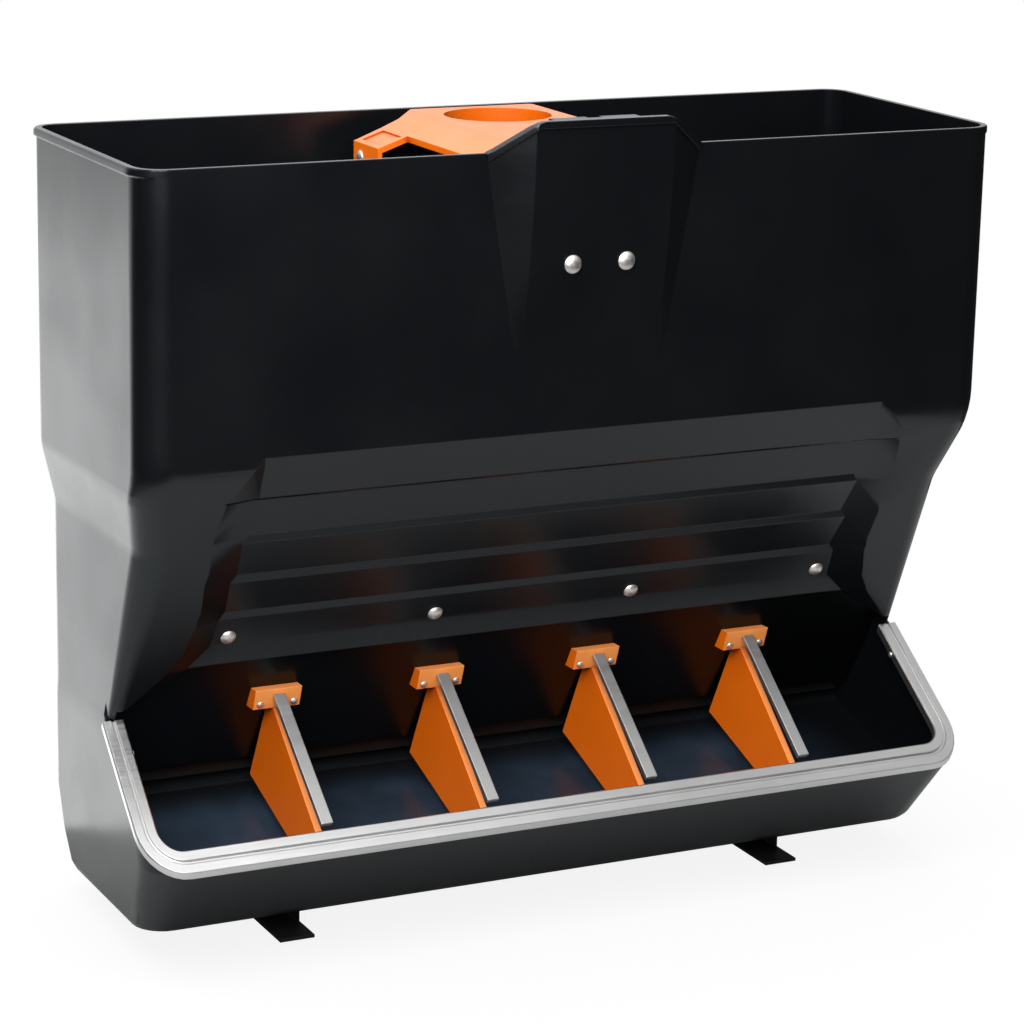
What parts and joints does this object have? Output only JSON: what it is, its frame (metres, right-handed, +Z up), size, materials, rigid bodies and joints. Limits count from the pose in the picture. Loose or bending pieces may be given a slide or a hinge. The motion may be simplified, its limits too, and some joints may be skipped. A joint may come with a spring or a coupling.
{
  "type": "piglet weaning feeder",
  "caption": "Free-standing piglet feeder: a long moulded hopper with a stepped front over a divided, steel-edged trough, and a lifting handle that sets the feed gate.",
  "frame": {"origin": "middle of the bounding box in X and Y, on the floor under the feet", "axes": "+Z up, +Y from the feeding side to the back, +X to the right seen from the feeding side"},
  "size_m": [0.8, 0.296, 0.707],
  "materials": {
    "black_plastic": "smooth moulded, glossy",
    "orange_plastic": "smooth moulded, satin",
    "stainless": "satin",
    "bolt_steel": "bright",
    "black_metal": "satin black"
  },
  "bodies": {
    "feeder": {"hopper_body": "black_plastic", "trough_edge_trim": "stainless", "throat_panel": "black_plastic", "handle_guide": "black_plastic", "divider_1": "orange_plastic", "divider_2": "orange_plastic", "divider_3": "orange_plastic", "divider_4": "orange_plastic", "divider_rod_1": "stainless", "divider_rod_2": "stainless", "divider_rod_3": "stainless", "divider_rod_4": "stainless", "divider_screw_1_left": "bolt_steel", "divider_screw_1_right": "bolt_steel", "divider_screw_2_left": "bolt_steel", "divider_screw_2_right": "bolt_steel", "divider_screw_3_left": "bolt_steel", "divider_screw_3_right": "bolt_steel", "divider_screw_4_left": "bolt_steel", "divider_screw_4_right": "bolt_steel", "lip_bolt_1": "bolt_steel", "lip_bolt_2": "bolt_steel", "lip_bolt_3": "bolt_steel", "lip_bolt_4": "bolt_steel", "lip_nut_1": "bolt_steel", "lip_nut_2": "bolt_steel", "lip_nut_3": "bolt_steel", "lip_nut_4": "bolt_steel", "bulge_left_bolt": "bolt_steel", "bulge_right_bolt": "bolt_steel", "bulge_left_nut": "bolt_steel", "bulge_right_nut": "bolt_steel", "trim_screw_left": "bolt_steel", "trim_screw_right": "bolt_steel", "foot_left": "black_metal", "foot_right": "black_metal", "foot_bolt_left_1": "black_metal", "foot_bolt_left_2": "black_metal", "foot_bolt_right_1": "black_metal", "foot_bolt_right_2": "black_metal", "foot_nut_left_1": "bolt_steel", "foot_nut_left_2": "bolt_steel", "foot_nut_right_1": "bolt_steel", "foot_nut_right_2": "bolt_steel"},
    "gate": {"feed_gate": "black_metal", "lift_strap_left": "stainless", "lift_strap_right": "stainless", "handle": "orange_plastic", "gate_bolt_left": "bolt_steel", "gate_bolt_right": "bolt_steel", "gate_nut_left": "bolt_steel", "gate_nut_right": "bolt_steel", "handle_left_bolt": "bolt_steel", "handle_right_bolt": "bolt_steel", "handle_left_nut": "bolt_steel", "handle_right_nut": "bolt_steel"}
  },
  "joints": [
    {"name": "gate_slide", "type": "slide", "parent": "feeder", "child": "gate", "axis": [0, 0, 1], "range_m": [-0.012, 0.025]}
  ]
}
